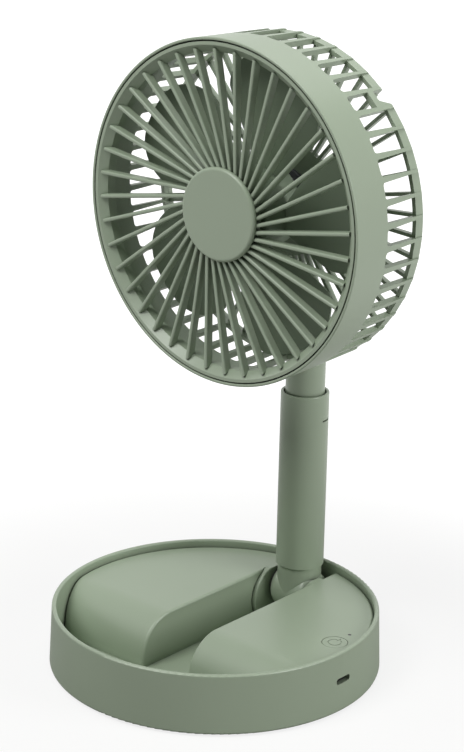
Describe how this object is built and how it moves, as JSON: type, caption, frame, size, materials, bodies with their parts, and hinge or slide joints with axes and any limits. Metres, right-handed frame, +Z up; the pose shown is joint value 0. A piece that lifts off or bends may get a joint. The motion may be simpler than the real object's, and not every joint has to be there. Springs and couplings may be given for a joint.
{
  "type": "folding desk fan",
  "caption": "Round caged fan head on a telescopic pole that folds forward into a cup base with raised pods, a push button and a charging socket.",
  "frame": {"origin": "on the table, under the middle of the round base", "axes": "+Z up; the fan blows towards -Y, the pole stands at the +Y side and the charging socket faces +X"},
  "size_m": [0.1734, 0.1726, 0.3275],
  "materials": {
    "sage_plastic": "satin moulded",
    "blade_plastic": "satin moulded",
    "dark_nylon": "plain",
    "foot_rubber": "matte",
    "zinc_steel": "zinc plated",
    "nickel_strip": "nickel plated",
    "cell_wrap": "shrink wrap",
    "board_laminate": "lacquered",
    "switch_plastic": "plain",
    "light_pipe": "clear",
    "can_steel": "plated",
    "ferrite": "pressed",
    "mount_alloy": "cast"
  },
  "bodies": {
    "base": {"base_shell": "sage_plastic", "rubber_feet": "foot_rubber", "left_pod": "sage_plastic", "right_pod": "sage_plastic", "base_screws": "zinc_steel", "battery_cells": "cell_wrap", "battery_cradle": "dark_nylon", "battery_tabs": "nickel_strip", "control_board": "board_laminate", "board_screws": "zinc_steel", "usb_socket": "nickel_strip", "button_switch": "switch_plastic", "led_lens": "light_pipe", "pole_hinge_pin": "zinc_steel", "pole_hinge_washers": "dark_nylon", "pole_hinge_clips": "zinc_steel"},
    "button": {"power_button": "sage_plastic"},
    "pole": {"pole_knuckle": "sage_plastic", "outer_tube": "sage_plastic", "tube_screw": "zinc_steel", "mast_bush": "dark_nylon"},
    "mast": {"mast_tube": "sage_plastic", "mast_foot": "dark_nylon", "mast_head": "sage_plastic"},
    "hinge_core": {"tilt_pin": "zinc_steel", "tilt_hubs": "zinc_steel", "tilt_caps": "sage_plastic"},
    "head": {"tilt_bracket": "sage_plastic", "bracket_screws": "zinc_steel", "head_housing": "sage_plastic", "front_grille": "sage_plastic", "hub_cap": "sage_plastic", "motor_mount": "mount_alloy", "motor_screws": "zinc_steel", "motor_bearings": "zinc_steel", "motor_stator": "can_steel"},
    "rotor": {"impeller": "blade_plastic", "rotor_can": "can_steel", "magnet_ring": "ferrite", "motor_shaft": "zinc_steel"}
  },
  "joints": [
    {"name": "power_press", "type": "slide", "parent": "base", "child": "button", "axis": [0, 0, -1], "range_m": [0, 0.0008], "stiffness_N_per_m": 1200, "springref_m": -0.0008},
    {"name": "pole_fold", "type": "hinge", "parent": "base", "child": "pole", "pos_m": [0, 0.0684, 0.018], "axis": [1, 0, 0], "range_deg": [0, 90]},
    {"name": "mast_slide", "type": "slide", "parent": "pole", "child": "mast", "axis": [0, 0, -1], "range_m": [-0.055, 0]},
    {"name": "head_fold", "type": "hinge", "parent": "mast", "child": "hinge_core", "pos_m": [0, 0.0684, 0.1604], "axis": [-1, 0, 0], "range_deg": [0, 165]},
    {"name": "head_tilt", "type": "hinge", "parent": "hinge_core", "child": "head", "pos_m": [0, 0.0684, 0.1604], "axis": [-1, 0, 0], "range_deg": [-15, 15]},
    {"name": "rotor_spin", "type": "hinge", "parent": "head", "child": "rotor", "pos_m": [0, 0.02, 0.2408], "axis": [0, 1, 0], "continuous": true}
  ],
  "couplings": [
    {"joint": "head_fold", "follows": "pole_fold", "ratio": 1.8333}
  ]
}
